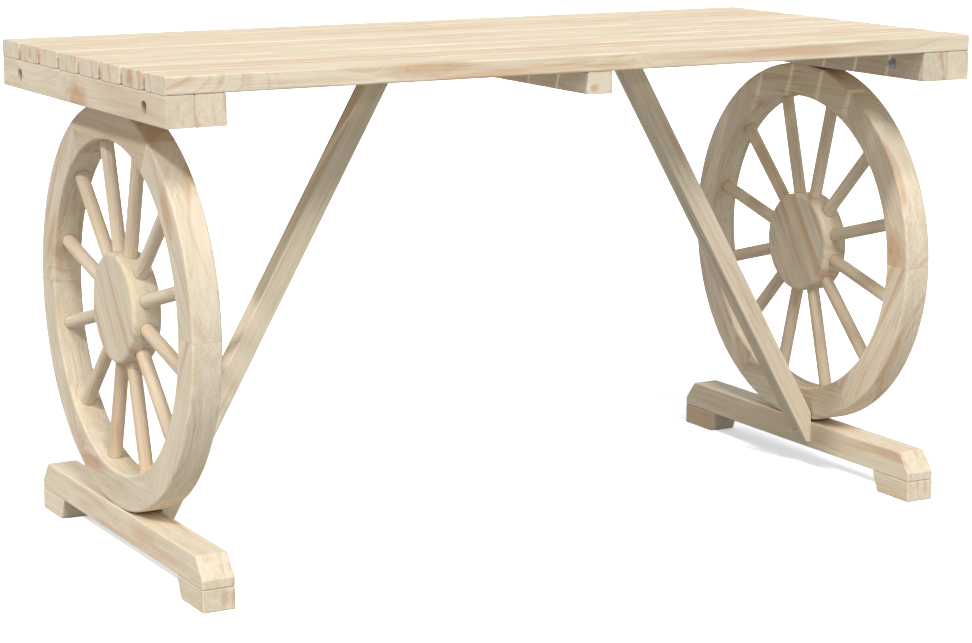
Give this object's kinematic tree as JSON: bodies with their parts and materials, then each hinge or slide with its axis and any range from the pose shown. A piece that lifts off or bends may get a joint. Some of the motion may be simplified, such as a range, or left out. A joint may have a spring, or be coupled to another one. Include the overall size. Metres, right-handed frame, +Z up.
{
  "type": "wagon wheel table",
  "caption": "Slatted wooden garden table whose ends stand on fixed spoked wagon wheels, screwed between rails above and foot beams below, with slanting braces.",
  "frame": {"origin": "middle of the footprint, on the floor under the table", "axes": "+Z up, X along the slats, Y across the table with its front at -Y"},
  "size_m": [1.15, 0.559, 0.636],
  "materials": {
    "fir_board": "planed, raw, no coating",
    "fir_wheel": "sawn and sanded, raw, no coating",
    "fir_dowel": "turned, raw, no coating",
    "zinc_plated_steel": "bright zinc plate"
  },
  "bodies": {
    "root": {"brace_dowels": "fir_dowel", "brace_screws": "zinc_plated_steel", "foot_pad_screws": "zinc_plated_steel", "left_back_foot_pad": "fir_board", "left_brace": "fir_board", "left_foot_beam": "fir_board", "left_front_foot_pad": "fir_board", "left_inner_rail": "fir_board", "left_outer_batten": "fir_board", "left_wheel_felloe_bottom": "fir_wheel", "left_wheel_felloe_dowels": "fir_dowel", "left_wheel_felloe_lower_back": "fir_wheel", "left_wheel_felloe_lower_front": "fir_wheel", "left_wheel_felloe_top": "fir_wheel", "left_wheel_felloe_upper_back": "fir_wheel", "left_wheel_felloe_upper_front": "fir_wheel", "left_wheel_hub": "fir_wheel", "left_wheel_spokes_bottom": "fir_dowel", "left_wheel_spokes_lower_back": "fir_dowel", "left_wheel_spokes_lower_front": "fir_dowel", "left_wheel_spokes_top": "fir_dowel", "left_wheel_spokes_upper_back": "fir_dowel", "left_wheel_spokes_upper_front": "fir_dowel", "middle_batten": "fir_board", "rail_bolts": "zinc_plated_steel", "rail_nuts": "zinc_plated_steel", "rail_washers": "zinc_plated_steel", "right_back_foot_pad": "fir_board", "right_brace": "fir_board", "right_foot_beam": "fir_board", "right_front_foot_pad": "fir_board", "right_inner_rail": "fir_board", "right_outer_batten": "fir_board", "right_wheel_felloe_bottom": "fir_wheel", "right_wheel_felloe_dowels": "fir_dowel", "right_wheel_felloe_lower_back": "fir_wheel", "right_wheel_felloe_lower_front": "fir_wheel", "right_wheel_felloe_top": "fir_wheel", "right_wheel_felloe_upper_back": "fir_wheel", "right_wheel_felloe_upper_front": "fir_wheel", "right_wheel_hub": "fir_wheel", "right_wheel_spokes_bottom": "fir_dowel", "right_wheel_spokes_lower_back": "fir_dowel", "right_wheel_spokes_lower_front": "fir_dowel", "right_wheel_spokes_top": "fir_dowel", "right_wheel_spokes_upper_back": "fir_dowel", "right_wheel_spokes_upper_front": "fir_dowel", "slat_screws": "zinc_plated_steel", "top_slat_1": "fir_board", "top_slat_2": "fir_board", "top_slat_3": "fir_board", "top_slat_4": "fir_board", "top_slat_5": "fir_board", "top_slat_6": "fir_board", "top_slat_7": "fir_board", "top_slat_8": "fir_board", "wheel_screws": "zinc_plated_steel"}
  },
  "joints": []
}
